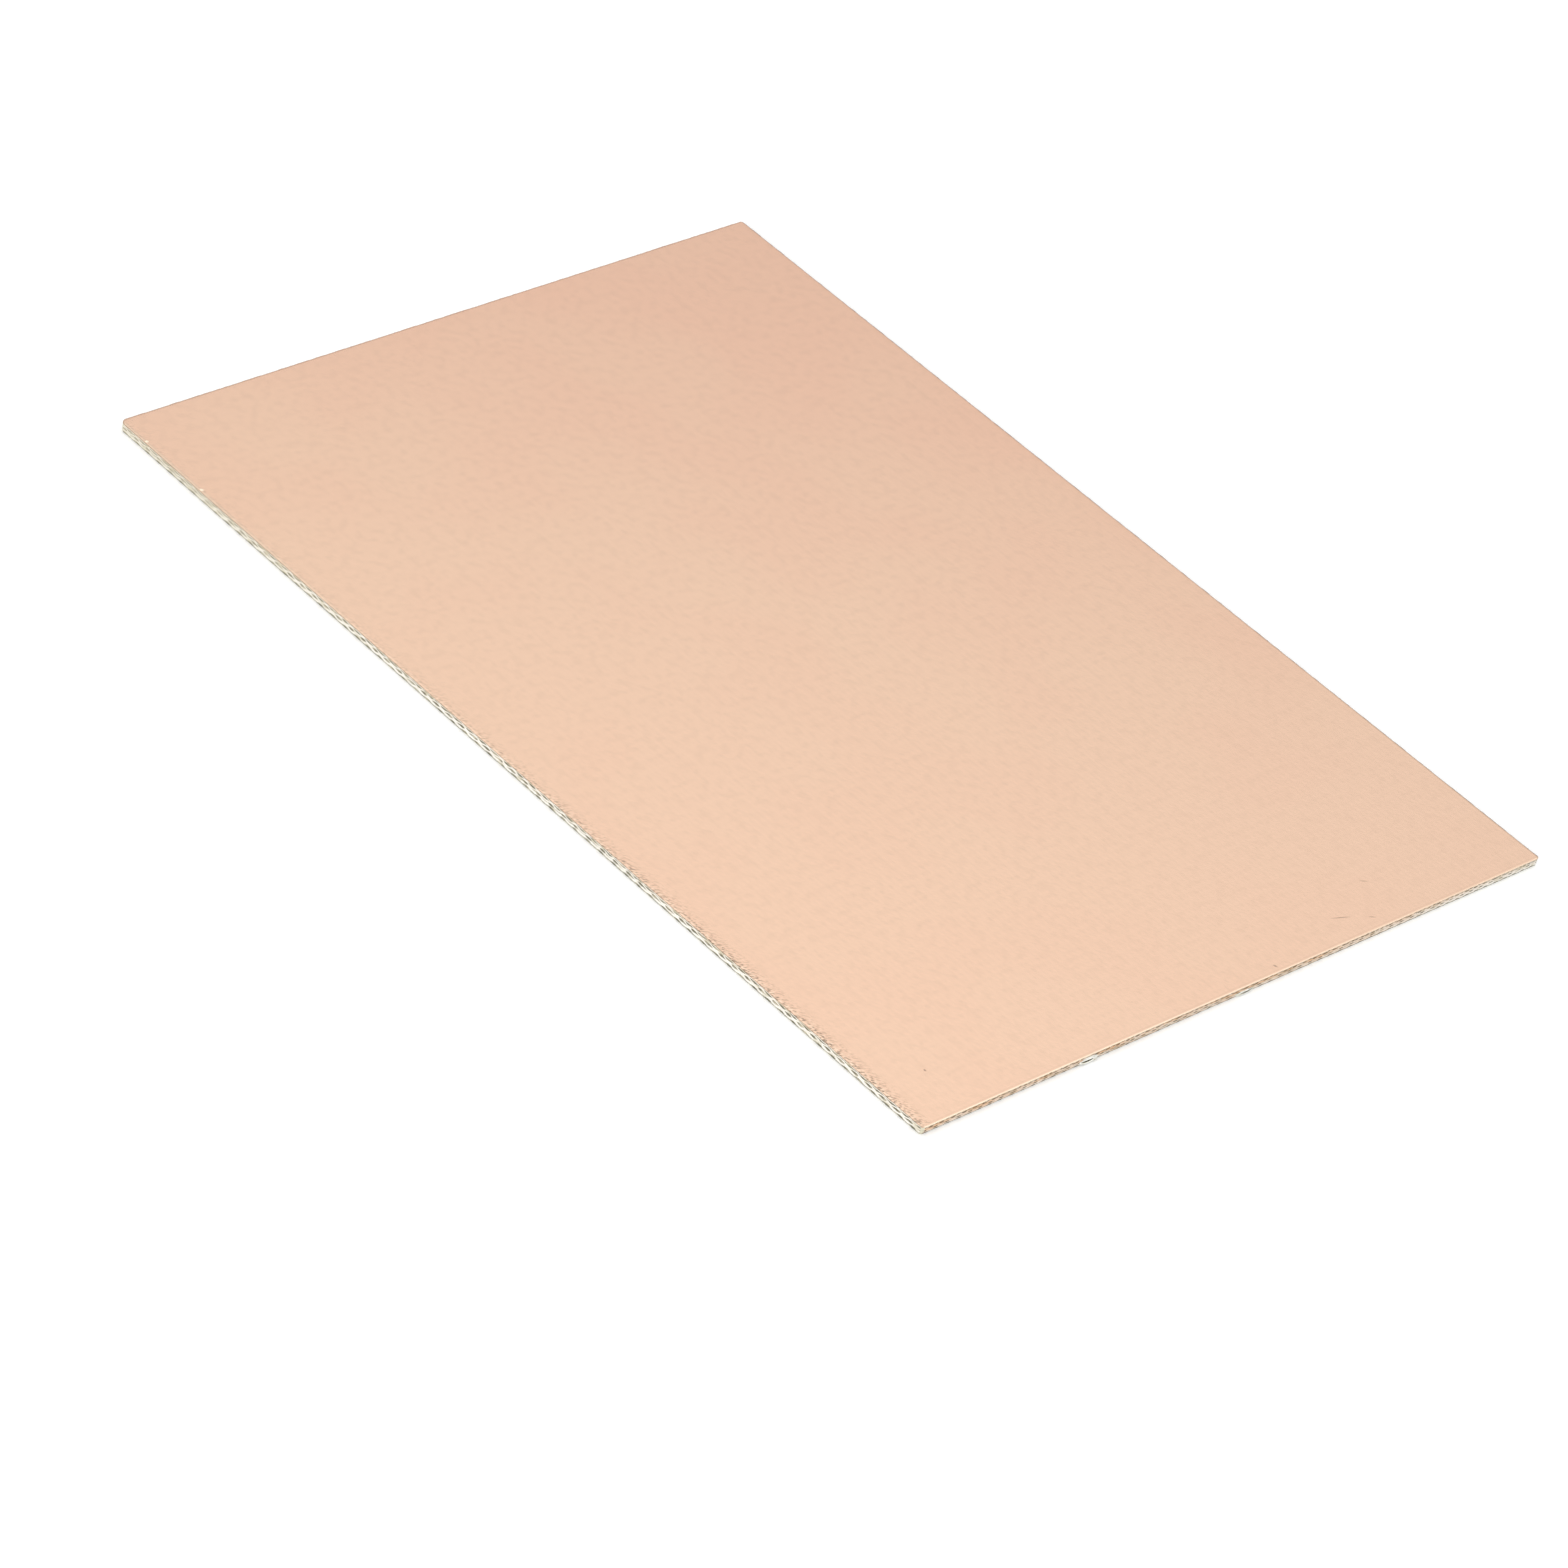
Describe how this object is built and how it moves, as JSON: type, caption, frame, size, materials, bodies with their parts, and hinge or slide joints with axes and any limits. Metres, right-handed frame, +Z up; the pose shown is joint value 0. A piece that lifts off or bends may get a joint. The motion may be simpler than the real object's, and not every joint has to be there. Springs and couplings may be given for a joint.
{
  "type": "copper clad board",
  "caption": "Flat rectangular circuit board blank: a woven glass and epoxy sheet with bare copper foil over its upper face.",
  "frame": {"origin": "centre of the underside, on the surface that the board lies on", "axes": "+X along the long side, towards the short edge with the two bursts; +Y along the short side; +Z up, out of the copper face"},
  "size_m": [0.1001, 0.07, 0.0008],
  "materials": {
    "glass_epoxy_laminate": "woven glass in pale green-yellow epoxy, sheared and fibrous at the edges",
    "copper_foil": "bare copper, smooth satin"
  },
  "bodies": {
    "root": {"glass_epoxy_core": "glass_epoxy_laminate", "copper_foil": "copper_foil"}
  },
  "joints": []
}
